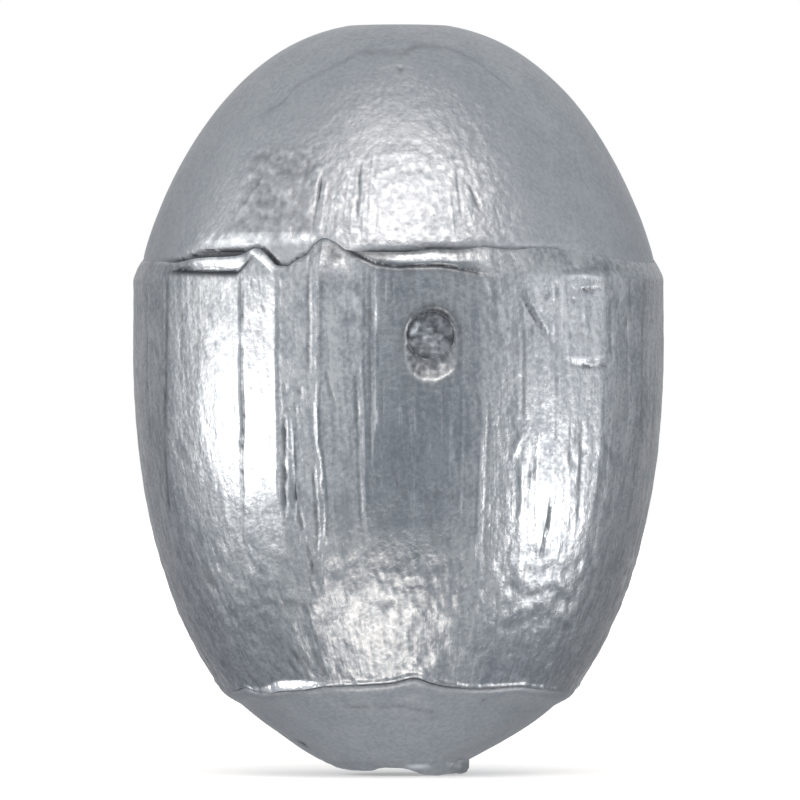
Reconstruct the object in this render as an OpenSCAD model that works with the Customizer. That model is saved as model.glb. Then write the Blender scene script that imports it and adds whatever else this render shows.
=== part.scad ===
// Egg-shaped lead sinker that slides on a fishing line.
// A cast nose cap and a cast tail cap plug into a sleeve of extruded lead, whose two rims are
// crimped over their shoulders. A plastic tube lines the bore that the fishing line runs in, and
// a peg driven in from the side locks the sleeve to the nose cap.
// Millimetres. +Z runs along the bore from tail to nose, the origin is the middle of the bore,
// and the side with the peg looks along -Y. Azimuths turn from -Y towards +X.

/* [Sleeve] */
// Diameter of the sleeve where it is widest
sleeve_d = 15.1; // [13.6:0.1:17]
// Height of the sleeve from its lower lip to its upper lip
sleeve_h = 12.3; // [11:0.1:14.5]
// Diameter of the sleeve at its lower lip
sleeve_foot_d = 10.3; // [10:0.1:10.8]
// Distance of the widest place below the upper lip
widest_drop = 2.5; // [2:0.1:3.5]
// Height of the rounded shoulder under the upper lip
shoulder_h = 0.85; // [0.7:0.05:1.1]
// Thickness of the upper lip where it ends on the dome
upper_lip_t = 0.09; // [0.07:0.01:0.15]
// Thickness of the lower lip where it ends on the tail
lower_lip_t = 0.12; // [0.1:0.01:0.2]
// How far the lips wander up and down
lip_wander = 0.45; // [0.3:0.05:0.5]

/* [Swaging marks] */
// Depth of the deepest crease that the jaws left along the sleeve
crease_depth = 0.14; // [0.08:0.01:0.18]
// Width of a crease from edge to edge
crease_w = 0.24; // [0.16:0.01:0.3]

/* [Nose cap] */
// Height of the dome above the upper lip, up to the tip that the bore cuts away
nose_h = 6.5; // [5.8:0.1:7.5]
// How much narrower in diameter than the sleeve the dome is at its root
nose_step = 0.16; // [0.16:0.02:0.3]
// How far the dome reaches down behind the upper lip
nose_seat = 0.75; // [0.7:0.05:1]
// Diameter of the nose cap's spigot
nose_spigot_d = 9.4; // [8.6:0.1:10.2]
// Length of the nose cap's spigot
nose_spigot_l = 5.4; // [5:0.1:6]

/* [Tail cap] */
// Height of the tail's cone below the lower lip
tail_h = 2.15; // [1.9:0.05:2.5]
// How far the tail reaches up behind the lower lip
tail_seat = 0.6; // [0.45:0.05:0.8]
// Swell of the cone's side beyond a straight cone
cone_swell = 0.3; // [0.16:0.02:0.34]
// Diameter of the tail cap's spigot
tail_spigot_d = 6.4; // [5.8:0.1:7.2]
// Diameter of the torn collar round the mouth of the bore
collar_d = 4.2; // [3.9:0.1:4.4]
// Height of the torn collar at its longest lobe
collar_h = 0.47; // [0.35:0.01:0.6]

/* [Line tube] */
// Bore of the tube, which the line runs in
bore_d = 1.8; // [1.5:0.1:2]
// Wall of the tube
tube_wall = 0.3; // [0.25:0.05:0.35]
// How far each end of the tube is flared out beyond its wall
flare_w = 0.12; // [0.08:0.01:0.16]
// Length of each flared end of the tube
flare_h = 0.3; // [0.2:0.05:0.4]
// How far each end of the tube stays back in its mouth
tube_recess = 0.3; // [0.2:0.05:0.4]

/* [Locking peg] */
// Diameter of the peg
peg_d = 1.3; // [1.1:0.05:1.4]
// Length of the peg before the punch strikes it, from the sleeve's surface inwards
peg_l = 4; // [3.7:0.1:4.3]
// Distance of the peg below the upper lip
peg_drop = 2.45; // [2.2:0.05:2.9]
// Width of the bowl that the ball-ended punch leaves over the peg
bowl_w = 1.6; // [1.5:0.05:2]
// Depth of the bowl
bowl_depth = 0.3; // [0.24:0.01:0.36]
// How far down the sleeve the punch slides as it strikes
punch_slip = 0.5; // [0.3:0.05:0.8]

/* [Fits] */
// Clearance on each side of a spigot or a seat
seat_gap = 0.03; // [0.02:0.005:0.05]
// Clearance on each side of the tube and the peg
tube_gap = 0.02; // [0.01:0.005:0.03]

/* [Hidden] */
$fn = 96;

// Azimuth of the peg, which sits a little to one side of the middle
peg_az = 7;
// Step in from the end of the cone to the torn collar
collar_inset = 0.05;
// How far a cutting shape runs past the face that it cuts, and a joined one into its neighbour
overrun = 0.5;

// Heights along the bore
total_h = nose_h + sleeve_h + tail_h + collar_h;
crown_z = total_h / 2;
upper_lip_z = crown_z - nose_h;
lower_lip_z = upper_lip_z - sleeve_h;
cone_end_z = lower_lip_z - tail_h;
torn_end_z = cone_end_z - collar_h;
widest_z = upper_lip_z - widest_drop;
shoulder_z = upper_lip_z - shoulder_h;
nose_seat_z = upper_lip_z - nose_seat;
tail_seat_z = lower_lip_z + tail_seat;
spigots_meet_z = nose_seat_z - nose_spigot_l;
peg_z = upper_lip_z - peg_drop;
tube_top_z = crown_z - tube_recess;
tube_foot_z = cone_end_z + tube_recess;

// Radii
sleeve_r = sleeve_d / 2;
sleeve_foot_r = sleeve_foot_d / 2;
dome_r = (sleeve_d - nose_step) / 2;
tail_r = sleeve_foot_r - lower_lip_t;
collar_r = collar_d / 2;
bore_r = bore_d / 2;
tube_r = bore_r + tube_wall;
tube_hole_r = tube_r + tube_gap;
flare_r = tube_r + flare_w;
mouth_r = flare_r + tube_gap;
peg_foot_r = sleeve_r - peg_l;
punch_r = (bowl_w * bowl_w / 4 + bowl_depth * bowl_depth) / (2 * bowl_depth);
punch_middle_r = sleeve_r - bowl_depth + punch_r;

// Roundness of the dome, of the sleeve below its widest place, and of its shoulder
dome_power = 1.4;
dome_root = 2.43;
dome_sink = 1.9 * nose_seat;
sleeve_power = 2.27;
shoulder_power = 1.7;

// Steps along the dome and the cone, and rows of the sleeve as shares of its height
dome_steps = 24;
cone_steps = 8;
sleeve_row_shares = [
    0, 0.012, 0.03, 0.06, 0.1, 0.15, 0.21, 0.28, 0.35, 0.42, 0.5, 0.58, 0.66, 0.74, 0.81, 0.87,
    0.91, 0.935, 0.955, 0.972, 0.988, 1
];

// Creases round the sleeve: azimuth, depth, and where each starts and ends up the sleeve.
// Between two creases the jaws left the wall a little flatter than round.
crease_azimuths = [
    -172, -153, -131, -112, -90, -62, -36.6, -27, -22.3, -17.7, -6.4, 18, 29, 36.3, 49.7, 66, 88,
    109, 127, 149, 168
];
crease_depth_shares = [
    0.4, 0.7, 0.3, 0.6, 0.4, 0.5, 0.9, 0.5, 0.6, 1, 0.35, 0.35, 0.6, 0.5, 0.4, 0.35, 0.6, 0.3,
    0.7, 0.4, 0.5
];
crease_foot_shares = [
    0.3, 0.2, 0.4, 0.25, 0.4, 0.6, 0.33, 0.46, 0.38, 0.24, 0.56, 0.3, 0.38, 0.28, 0.5, 0.4, 0.2,
    0.45, 0.3, 0.35, 0.2
];
crease_head_shares = [
    0.9, 0.95, 0.8, 0.97, 0.9, 0.95, 0.97, 0.96, 0.66, 1, 0.94, 0.93, 0.62, 0.93, 0.85, 0.9,
    0.95, 0.8, 0.95, 0.9, 0.97
];
plate_flat_share = 0.5;
plate_fade_shares = [0.16, 0.42];
crease_fade_share = 0.08;
crease_rim_share = 0.3;
plate_step = 3;

// Wander of the lips round the sinker, azimuth against share
upper_lip_shares = [
    [-180, 0.1], [-150, -0.2], [-120, 0.15], [-90, -0.6], [-66, -0.75], [-58, -0.85], [-50, -0.6],
    [-38, -0.5], [-35, -0.25], [-32.5, 0], [-31, -0.3], [-28.4, -0.8], [-27, -1.1], [-25, -1.1],
    [-23, -0.8], [-20, -0.4], [-18.6, 0.4], [-16.5, 0.65], [-13.8, 0.3], [-11.5, -0.15],
    [-6.8, -0.2], [4, -0.15], [8, 0.1], [13, -0.15], [19, 0.15], [25.6, -0.2], [32.7, 0.1],
    [40, -0.1], [45, -0.35], [54, -0.55], [62, -0.75], [75, -0.8], [90, -0.6], [120, 0.2],
    [150, -0.1], [180, 0.1]
];
lower_lip_shares = [
    [-180, 0.2], [-140, -0.15], [-100, 0.2], [-76, -0.4], [-66, -0.3], [-58, 0.05], [-53, -0.3],
    [-44, -0.4], [-36, -0.35], [-30, -0.1], [-23, 0.12], [-10, 0.25], [0, 0.38], [4.7, 0.75],
    [9, 0.3], [13, 0.1], [27, -0.08], [55, -0.2], [75, -0.4], [110, 0.1], [145, -0.1], [180, 0.2]
];

// The torn collar round the sinker: how long it is, and how square its outer edge is
collar_length_shares = [
    [-180, 0.5], [-150, 0.7], [-120, 0.5], [-95, 0.6], [-70, 0.68], [-45, 0.75], [-30, 0.68],
    [-18, 0.4], [0, 0.36], [10, 0.5], [22, 0.85], [40, 1], [60, 0.95], [80, 0.85], [100, 0.7],
    [120, 0.4], [150, 0.3], [180, 0.5]
];
collar_square_shares = [
    [-180, 0.5], [-120, 0.3], [-60, 0.3], [-30, 0.4], [0, 0.6], [30, 0.7], [60, 0.85],
    [100, 0.85], [140, 0.5], [180, 0.5]
];
collar_row_shares = [1, 0.5, 0];
collar_steps = 72;

function mix(a, b, t) = a + (b - a) * t;
function ease(t) = let (c = max(0, min(1, t))) c * c * (3 - 2 * c);
function turned(az, r, z) = [r * sin(az), -r * cos(az), z];
function last(list) = len(list) - 1;

// Radius of the dome at a height
function dome_radius(z) =
    let (foot_z = upper_lip_z - dome_sink)
    dome_r * pow(max(0, 1 - pow((z - foot_z) / (crown_z - foot_z), dome_power)), 1 / dome_root);

// Radius of the tail's cone at a height
function cone_radius(z) =
    let (t = (lower_lip_z - z) / tail_h)
    mix(tail_r, collar_r, t) + cone_swell * 4 * t * (1 - t);

// Radius of the plain sleeve at a height, before the jaws marked it
function sleeve_reach() =
    (widest_z - lower_lip_z) / pow(1 - pow(sleeve_foot_r / sleeve_r, 2), 1 / sleeve_power);
function barrel_radius(z) =
    sleeve_r * sqrt(1 - pow(max(0, widest_z - z) / sleeve_reach(), sleeve_power));

// Heights of the two lips at an azimuth
function upper_edge_z(az) = upper_lip_z + lip_wander * lookup(az, upper_lip_shares);
function lower_edge_z(az) = lower_lip_z + lip_wander * lookup(az, lower_lip_shares);

// The shoulder leans in from the barrel to the thin edge of the upper lip
function shoulder_radius(az, z) =
    let (edge_z = upper_edge_z(az))
    let (edge_r = dome_radius(edge_z) + upper_lip_t)
    let (t = max(0, min(1, (z - shoulder_z) / (edge_z - shoulder_z))))
    mix(barrel_radius(z), edge_r, pow(t, shoulder_power));

// Azimuths of the sleeve's sections: three at each crease, and even steps across each plate
crease_half = crease_w / sleeve_d * 360 / PI;
function plate_end(i) =
    i < last(crease_azimuths) ? crease_azimuths[i + 1] : crease_azimuths[0] + 360;
function plate_count(i) = ceil((plate_end(i) - crease_azimuths[i] - 2 * crease_half) / plate_step);
sections = [
    for (i = [0 : last(crease_azimuths)])
        let (start = crease_azimuths[i] + crease_half)
        let (end = plate_end(i) - crease_half)
        for (j = [-1 : plate_count(i)])
            [i, j, j < 0 ? crease_azimuths[i] : mix(start, end, j / plate_count(i))]
];

// How deep a section lies below the round wall: the crease itself, which runs out shallow where
// the shoulder thins to the rim, or the flat of its plate
function crease_sink(i, z) =
    let (share = (z - lower_lip_z) / sleeve_h)
    crease_depth * crease_depth_shares[i]
        * mix(1, crease_rim_share, ease((z - shoulder_z) / shoulder_h))
        * ease((share - crease_foot_shares[i]) / crease_fade_share)
        * ease((crease_head_shares[i] + crease_fade_share - share) / crease_fade_share);
function plate_sink(i, az, z) =
    let (half = (plate_end(i) - crease_azimuths[i]) / 2)
    let (middle = crease_azimuths[i] + half)
    let (share = (z - lower_lip_z) / sleeve_h)
    plate_flat_share * sleeve_r * (1 - cos(half) / cos(az - middle))
        * ease((share - plate_fade_shares[0]) / (plate_fade_shares[1] - plate_fade_shares[0]))
        * ease((upper_lip_z - z) / shoulder_h);

function folded(az) = az > 180 ? az - 360 : az;
function sleeve_point(section, row_share) =
    let (i = section[0])
    let (az = section[2])
    let (z = mix(lower_edge_z(folded(az)), upper_edge_z(folded(az)), row_share))
    let (sink = plate_sink(i, az, z) + (section[1] < 0 ? crease_sink(i, z) : 0))
    turned(az, shoulder_radius(folded(az), z) - sink, z);

// The collar's skin starts inside the cone, drops to a torn edge and rolls in to the mouth
function collar_point(az, share) =
    let (drop = collar_h * lookup(az, collar_length_shares))
    let (square = lookup(az, collar_square_shares))
    let (r = mix(collar_r - collar_inset, mouth_r + collar_inset, share))
    turned(az, r, cone_end_z - drop * mix(square, 1, share * (2 - share)));

// A closed skin over rings of points, with its two ends drawn in to points on the axis
module ringed_skin(rings, foot_z, head_z) {
    n = len(rings[0]);
    rows = len(rings);
    points = concat([for (ring = rings) each ring], [[0, 0, foot_z], [0, 0, head_z]]);
    sides = [
        for (row = [0 : rows - 2])
            for (i = [0 : n - 1])
                let (a = row * n + i)
                let (b = row * n + (i + 1) % n)
                each [[a, a + n, b], [b, a + n, b + n]]
    ];
    foot = [for (i = [0 : n - 1]) [rows * n, i, (i + 1) % n]];
    head = [for (i = [0 : n - 1]) [rows * n + 1, (rows - 1) * n + (i + 1) % n, (rows - 1) * n + i]];
    polyhedron(points, concat(sides, foot, head));
}

// The dome's solid down to its seat, wider all round by grow
module dome_solid(grow) {
    outline = [
        for (i = [0 : dome_steps - 1])
            let (z = mix(nose_seat_z, crown_z, sin(90 * i / dome_steps)))
            [dome_radius(z) + grow, z]
    ];
    rotate_extrude()
        polygon(concat([[0, nose_seat_z]], outline, [[0, crown_z]]));
}

// The cone's solid up to its seat, wider all round and higher by grow
module cone_solid(grow) {
    outline = [
        for (i = [0 : cone_steps])
            let (z = mix(lower_lip_z, cone_end_z, i / cone_steps))
            [cone_radius(z) + grow, z]
    ];
    rotate_extrude()
        polygon(concat(
            [[0, tail_seat_z + grow], [tail_r + grow, tail_seat_z + grow]],
            outline,
            [[0, cone_end_z]]
        ));
}

// A hole along the bore for the tube, with a flared seat for each of its ends
module tube_hole() {
    translate([0, 0, torn_end_z - overrun])
        cylinder(r = tube_hole_r, h = total_h + 2 * overrun);
    translate([0, 0, tube_top_z - flare_h])
        cylinder(r1 = tube_hole_r, r2 = mouth_r, h = flare_h);
    translate([0, 0, tube_top_z])
        cylinder(r = mouth_r, h = crown_z - tube_top_z + overrun);
    translate([0, 0, tube_foot_z])
        cylinder(r1 = mouth_r, r2 = tube_hole_r, h = flare_h);
    translate([0, 0, torn_end_z - overrun])
        cylinder(r = mouth_r, h = tube_foot_z - torn_end_z + overrun);
}

// Places a shape on the peg's axis, with +Z pointing out of the sleeve
module on_peg_axis(distance) {
    rotate([0, 0, peg_az])
        translate([0, -distance, peg_z])
            rotate([90, 0, 0])
                children();
}

// The bowl that the ball of the punch leaves in the sleeve and the peg alike
module punched_bowl() {
    on_peg_axis(punch_middle_r) {
        sphere(r = punch_r);
        rotate([90, 0, 0])
            cylinder(r = punch_r, h = punch_slip);
        translate([0, -punch_slip, 0])
            sphere(r = punch_r);
    }
}

// Cast lead dome with the spigot that plugs into the sleeve
module nose_cap() {
    color("#9aa3ab")
    difference() {
        union() {
            dome_solid(0);
            translate([0, 0, spigots_meet_z])
                cylinder(d = nose_spigot_d, h = nose_spigot_l + overrun);
        }
        tube_hole();
        on_peg_axis(peg_foot_r - tube_gap)
            cylinder(r = peg_d / 2 + tube_gap, h = sleeve_r);
    }
}

// Extruded lead sleeve, swaged to an egg and crimped over both caps
module sleeve() {
    color("#8f989f")
    difference() {
        ringed_skin(
            [for (share = sleeve_row_shares) [for (s = sections) sleeve_point(s, share)]],
            lower_lip_z,
            upper_lip_z
        );
        dome_solid(seat_gap);
        translate([0, 0, spigots_meet_z - seat_gap])
            cylinder(r = nose_spigot_d / 2 + seat_gap, h = nose_spigot_l + overrun);
        translate([0, 0, tail_seat_z])
            cylinder(r = tail_spigot_d / 2 + seat_gap, h = spigots_meet_z - tail_seat_z);
        cone_solid(seat_gap);
        on_peg_axis(0)
            cylinder(r = peg_d / 2 + tube_gap, h = sleeve_r + overrun);
        punched_bowl();
    }
}

// Cast lead cone with the spigot that plugs into the sleeve and the rim torn off the gate
module tail_cap() {
    turns = [for (i = [0 : collar_steps - 1]) i * 360 / collar_steps - 180];
    color("#8a9299")
    difference() {
        union() {
            cone_solid(0);
            translate([0, 0, tail_seat_z - overrun])
                cylinder(d = tail_spigot_d, h = spigots_meet_z - tail_seat_z + overrun - seat_gap);
            ringed_skin(
                [
                    for (share = collar_row_shares) [for (az = turns) collar_point(az, share)],
                    [for (az = turns) turned(az, collar_r - collar_inset, cone_end_z + overrun)]
                ],
                cone_end_z,
                cone_end_z + overrun
            );
        }
        tube_hole();
    }
}

// Plastic tube with both ends flared, so that no lead edge touches the line
module line_tube() {
    color("#2b2d2f")
    rotate_extrude()
        polygon([
            [bore_r, tube_foot_z + flare_h],
            [tube_r, tube_foot_z],
            [flare_r, tube_foot_z],
            [tube_r, tube_foot_z + flare_h],
            [tube_r, tube_top_z - flare_h],
            [flare_r, tube_top_z],
            [tube_r, tube_top_z],
            [bore_r, tube_top_z - flare_h]
        ]);
}

// Lead peg driven through the sleeve into the nose cap's spigot, and punched down over both
module locking_peg() {
    color("#7f878e")
    difference() {
        on_peg_axis(peg_foot_r)
            cylinder(d = peg_d, h = peg_l);
        punched_bowl();
    }
}

nose_cap();
sleeve();
tail_cap();
line_tube();
locking_peg();
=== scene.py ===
"""Looks of an egg-shaped lead sinker: cast caps in a swaged lead sleeve that is crimped over both.

Lengths are millimetres until a mesh is finished, +Z runs along the bore from tail to nose, and
azimuths are degrees that turn from -Y, where the peg looks out, towards +X.
"""

import bisect
import functools
import math

import bmesh
import bpy
from mathutils import Euler, Matrix, Vector, noise


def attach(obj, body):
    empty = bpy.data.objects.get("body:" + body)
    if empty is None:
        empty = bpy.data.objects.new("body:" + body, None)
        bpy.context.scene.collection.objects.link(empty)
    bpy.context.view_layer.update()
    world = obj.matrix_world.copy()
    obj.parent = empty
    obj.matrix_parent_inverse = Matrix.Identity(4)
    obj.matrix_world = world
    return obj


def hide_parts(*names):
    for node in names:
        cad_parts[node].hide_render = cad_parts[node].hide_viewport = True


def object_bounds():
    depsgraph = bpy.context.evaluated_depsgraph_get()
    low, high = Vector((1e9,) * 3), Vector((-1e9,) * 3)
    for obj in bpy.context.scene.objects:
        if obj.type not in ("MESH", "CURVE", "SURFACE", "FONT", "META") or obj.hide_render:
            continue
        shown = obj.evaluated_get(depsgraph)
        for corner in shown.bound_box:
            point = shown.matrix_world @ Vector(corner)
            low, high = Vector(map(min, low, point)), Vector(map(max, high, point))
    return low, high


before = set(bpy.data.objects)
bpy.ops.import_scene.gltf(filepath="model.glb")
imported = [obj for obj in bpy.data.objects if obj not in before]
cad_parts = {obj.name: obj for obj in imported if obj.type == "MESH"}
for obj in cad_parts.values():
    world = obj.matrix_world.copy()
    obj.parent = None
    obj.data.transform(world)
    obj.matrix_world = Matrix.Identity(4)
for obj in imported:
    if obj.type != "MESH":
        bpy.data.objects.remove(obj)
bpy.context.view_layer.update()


# Nose cap: a dome of dull cast lead, with a spigot that plugs into the sleeve. It froze with a
# pinhole near its crown and lumps all over, and the sleeve's lip was hammered down on its foot.
MM = 0.001
crown_z = 10.71
upper_lip_z = 4.21
dome_r = 7.47
dome_sink = 1.425
dome_power = 1.4
dome_root = 2.43
nose_seat_z = 3.46
nose_spigot_r = 4.7
spigots_meet_z = -1.94
spigot_chamfer = 0.15
mouth_r = 1.34
mouth_round = 0.12
tube_hole_r = 1.22
tube_top_z = 10.41
tube_foot_z = -9.94
flare_h = 0.3
lip_wander = 0.45
dome_rows = 120
foot_crowding = 0.92
nose_turns = 600
front_crowding = 0.55
sharp_angle = math.radians(50)


def mix(a, b, share):
    return a + (b - a) * share


def ease(share):
    share = max(0.0, min(1.0, share))
    return share * share * (3 - 2 * share)


def within(place, start, end, fade_in, fade_out):
    """1 between start and end, easing in after the start and out before the end."""
    return ease((place - start) / fade_in) * ease((end - place) / fade_out)


def curve(*points):
    """Smooth lookup through (place, value) points, level beyond its ends."""
    places, values = zip(*points)
    slopes = [
        (high - low) / (end - start) for (start, low), (end, high) in zip(points, points[1:])
    ]
    bends = [2 * a * b / (a + b) if a * b > 0 else 0.0 for a, b in zip(slopes, slopes[1:])]
    bends = [slopes[0], *bends, slopes[-1]]
    def at(place):
        i = bisect.bisect_right(places, place) - 1
        if i < 0:
            return values[0]
        if i >= len(slopes):
            return values[-1]
        gap = places[i + 1] - places[i]
        t = (place - places[i]) / gap
        back = 1 - t
        straight = values[i] * back * back * (1 + 2 * t) + values[i + 1] * t * t * (3 - 2 * t)
        return straight + gap * t * back * (bends[i] * back - bends[i + 1] * t)
    return at


def loop(back, *points):
    """A curve round the sinker, with one value at both ends, at the back."""
    return curve((-180, back), *points, (180, back))


# Noise keeps to a grid, so plain lumps are turned off it, and stretched ones lean
off_grid = Euler((0.6, 0.4, 0.3))
lean_by_x = 0.8
lean_by_y = -0.3


def lumps(az, z, r, size, stretch=1, seed=0):
    """Smooth unevenness of a wall from about -1 to 1, stretched up the wall."""
    turn = math.radians(az)
    spot = Vector((r * math.sin(turn), -r * math.cos(turn), z / stretch))
    if stretch == 1:
        spot.rotate(off_grid)
    else:
        spot.z += lean_by_x * spot.x + lean_by_y * spot.y
    return noise.noise(spot / size + Vector((seed, seed, seed)))


# Marks give their width and rise in micrometres, and their grime and painted light in percent:
# above 0 it darkens the lead as grime and painted shade, below 0 it lightens it as a painted
# highlight
MICRON = 0.001
PERCENT = 0.01
# How many widths marks and dents reach, and over how many mm or degrees a long mark's ends fade
mark_reach = 1.6
dent_reach = math.sqrt(2)
fade_up = 0.35
fade_round = 4


def bell(away):
    """A smooth bump of 1 in the middle, all but gone at 1.5 to either side."""
    return math.exp(-3 * away * away)


def strength(*spot):
    """How strong a mark is at a spot on its way, since none is even."""
    return 0.9 + 0.7 * noise.noise(Vector(spot))


def up(points, width, rise, grime_and_painted_light=0):
    """A ridge up the wall through (azimuth, height), or a groove where rise is below 0."""
    width *= MICRON
    azimuths, heights = zip(*points)
    way = curve(*sorted(zip(heights, azimuths)))
    low = min(heights)
    high = max(heights)
    fade = min(fade_up, (high - low) / 3)
    seed = azimuths[0]
    def at(az, z, r):
        if not low < z < high:
            return 0.0, 0.0
        ragged = 0.02 * noise.noise(Vector((3 * z, seed, 0.5)))
        away = (math.radians(az - way(z)) * r - ragged) / width
        if abs(away) > mark_reach:
            return 0.0, 0.0
        share = bell(away) * within(z, low, high, fade, fade) * strength(1.7 * z, 5.5, seed)
        return rise * share, grime_and_painted_light * share
    return min(azimuths), max(azimuths), at


def around(points, width, rise, grime_and_painted_light=0):
    """The same, but it runs round the wall."""
    width *= MICRON
    way = curve(*points)
    first = points[0][0]
    last = points[-1][0]
    fade = min(fade_round, (last - first) / 3)
    def at(az, z, r):
        away = (z - way(az)) / width
        if abs(away) > mark_reach or not first < az < last:
            return 0.0, 0.0
        share = bell(away) * within(az, first, last, fade, fade) * strength(0.25 * az, 2.5, width)
        return rise * share, grime_and_painted_light * share
    return first, last, at


def dent(az_middle, z_middle, wide, high, rise, grime_and_painted_light=0):
    """A soft round dent, or a bump where rise is above 0."""
    def at(az, z, r):
        away = math.hypot(math.radians(az - az_middle) * r / wide, (z - z_middle) / high) / MICRON
        if away > dent_reach:
            return 0.0, 0.0
        return rise * bell(away), grime_and_painted_light * bell(away)
    return az_middle, az_middle, at


def by_sector(marks):
    """The marks that lie near each whole degree of azimuth, from -180 to 180."""
    margin = 8
    return [
        [at for first, last, at in marks if first - margin < sector < last + margin]
        for sector in range(-180, 181)
    ]


def marked(sectors, az, z, r):
    """How far the marks raise the wall at a place, and how much grime and painted light they give
    it.
    """
    found = [(0, 0), *(at(az, z, r) for at in sectors[round(az) + 180])]
    rises, grimes_and_lights = zip(*found)
    return MICRON * sum(rises), PERCENT * sum(grimes_and_lights)


def turned_shell(rows, turns):
    """A closed shell round the bore, with more turns at the front. Each row is a (place, share)
    pair, and place(azimuth, share) gives its radius, height, and its grime and painted light."""
    cuts = 12
    bm = bmesh.new()
    row_of = bm.verts.layers.float.new("row")
    grime_and_light_of = bm.verts.layers.float.new("grime_and_painted_light")
    ring = []
    for index, (place, share) in enumerate(rows):
        r, z, grime_and_painted_light = place(180, share)
        vert = bm.verts.new((0, r, z))
        vert[row_of] = index
        ring.append(vert)
    edges = [bm.edges.new(pair) for pair in zip(ring, ring[1:] + ring[:1])]
    bmesh.ops.spin(
        bm, geom=ring + edges, axis=(0, 0, 1), cent=(0, 0, 0),
        steps=turns // cuts, angle=math.tau, use_merge=True,
    )
    level = [
        edge for edge in bm.edges if round(edge.verts[0][row_of]) == round(edge.verts[1][row_of])
    ]
    bmesh.ops.subdivide_edges(bm, edges=level, cuts=cuts - 1)
    for vert in bm.verts:
        turn = math.atan2(vert.co.x, -vert.co.y)
        az = round(math.degrees(turn - front_crowding * math.sin(turn)), 4)
        place, share = rows[round(vert[row_of])]
        r, z, vert[grime_and_light_of] = place(az, share)
        vert.co = (r * math.sin(math.radians(az)), -r * math.cos(math.radians(az)), z)
    bm.verts.layers.float.remove(row_of)
    bmesh.ops.recalc_face_normals(bm, faces=bm.faces)
    return bm


def plain_rows(*rows):
    """Rows that are true circles, from the radius, height and grime of each."""
    return [(lambda az, share, row=row: row, 0) for row in rows]


def placed(name, data):
    """An object in the scene."""
    thing = bpy.data.objects.new(name, data)
    bpy.context.scene.collection.objects.link(thing)
    return thing


def finished(name, bm):
    """A piece from a mesh in millimetres, smooth but for its sharp edges."""
    bmesh.ops.scale(bm, vec=(MM, MM, MM), verts=bm.verts)
    mesh = bpy.data.meshes.new(name)
    bm.to_mesh(mesh)
    bm.free()
    mesh.shade_smooth()
    mesh.set_sharp_from_angle(angle=sharp_angle)
    return placed(name, mesh)


upper_wander = loop(
    0.1, (-150, -0.2), (-120, 0.15), (-90, -0.6), (-66, -0.75), (-58, -0.85), (-50, -0.6),
    (-38, -0.5), (-35, -0.25), (-33, 0.02), (-31.4, -0.12), (-28.9, -0.66), (-26.8, -1.12),
    (-24.6, -1.14), (-22.8, -0.8), (-20.4, -0.45), (-18.7, 0.3), (-17, 0.6), (-14, 0.3),
    (-11.5, -0.15), (-6.8, -0.28), (0, -0.3), (4, -0.24), (8, -0.12), (13, -0.15), (19, 0.02),
    (25.6, -0.14), (32.7, 0.02), (40, -0.12), (45, -0.34), (54, -0.5), (62, -0.75), (75, -0.8),
    (90, -0.6), (120, 0.2), (150, -0.1),
)
# How open the crack between the dome and the upper lip is, which also sets how dark the painted
# shade in it is
crack_width = loop(
    0.5, (-140, 0.9), (-110, 0.5), (-96, 0.12), (-72, 0.06), (-62, 0.7), (-52, 1.9), (-39, 2.2),
    (-35, 1.5), (-32, 0.7), (-28, 0.9), (-24, 1), (-20, 0.9), (-18.4, 0.3), (-17, 0), (-12, 0),
    (-9, 0.4), (-6, 0.9), (0, 1), (12, 0.9), (18, 0.7), (27, 0.6), (40, 0.35), (52, 0.12),
    (70, 0.05), (96, 0.1), (110, 0.5), (135, 0.9),
)
crack_depth = 0.06
crack_reach = 0.075


@functools.cache
def upper_edge_z(az):
    return upper_lip_z + lip_wander * upper_wander(az)


def dome_radius(z):
    foot_z = upper_lip_z - dome_sink
    share = max(0.0, (z - foot_z) / (crown_z - foot_z))
    return dome_r * max(0.0, 1 - share ** dome_power) ** (1 / dome_root)


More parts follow.
